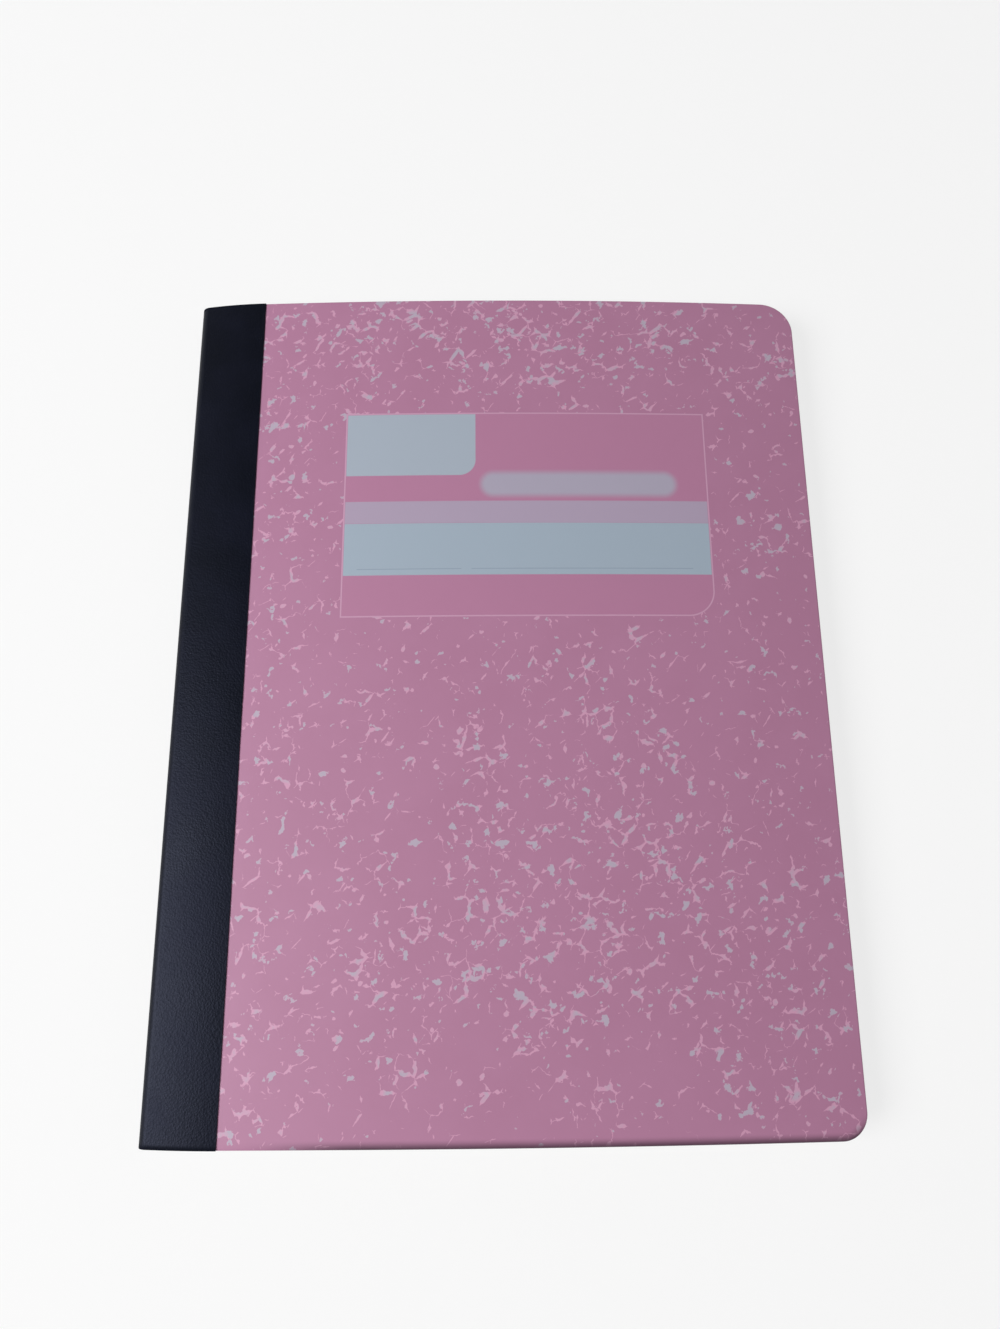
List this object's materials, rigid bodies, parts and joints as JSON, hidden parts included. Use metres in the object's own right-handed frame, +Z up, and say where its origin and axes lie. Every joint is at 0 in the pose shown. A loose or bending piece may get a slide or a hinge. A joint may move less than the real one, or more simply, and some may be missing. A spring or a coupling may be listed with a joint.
{
  "type": "composition notebook",
  "caption": "Closed sewn exercise book with stiff marbled covers that open on a taped spine, rounded fore-edge corners and a blank label on the front.",
  "frame": {"origin": "middle of the closed book's underside, on the surface it lies on", "axes": "+X from the spine to the fore-edge, +Y towards the head, +Z up out of the front cover"},
  "size_m": [0.1906, 0.2476, 0.0124],
  "materials": {
    "page_paper": "matte",
    "thread": "matte",
    "tape": "satin",
    "cover_board": "satin",
    "pale_pink_print": "satin",
    "pale_blue_print": "satin",
    "lilac_print": "satin",
    "fleck_print": "satin"
  },
  "bodies": {
    "book_block": {"page_block": "page_paper", "stitching_thread": "thread", "spine_tape": "tape"},
    "front_side": {"front_cover": "cover_board", "front_tape_lap": "tape", "label_frame": "pale_pink_print", "name_panel": "pale_blue_print", "title_bar": "pale_blue_print", "ruling_band": "lilac_print", "writing_panel": "pale_blue_print", "marbling": "fleck_print"},
    "back_side": {"back_cover": "cover_board", "back_tape_lap": "tape"}
  },
  "joints": [
    {"name": "front_cover_hinge", "type": "hinge", "parent": "book_block", "child": "front_side", "pos_m": [-0.09263, 0, 0.0093], "axis": [0, -1, 0], "range_deg": [0, 180]},
    {"name": "back_cover_hinge", "type": "hinge", "parent": "book_block", "child": "back_side", "pos_m": [-0.09205, 0, -0.00015], "axis": [0, 1, 0], "range_deg": [0, 180]}
  ]
}
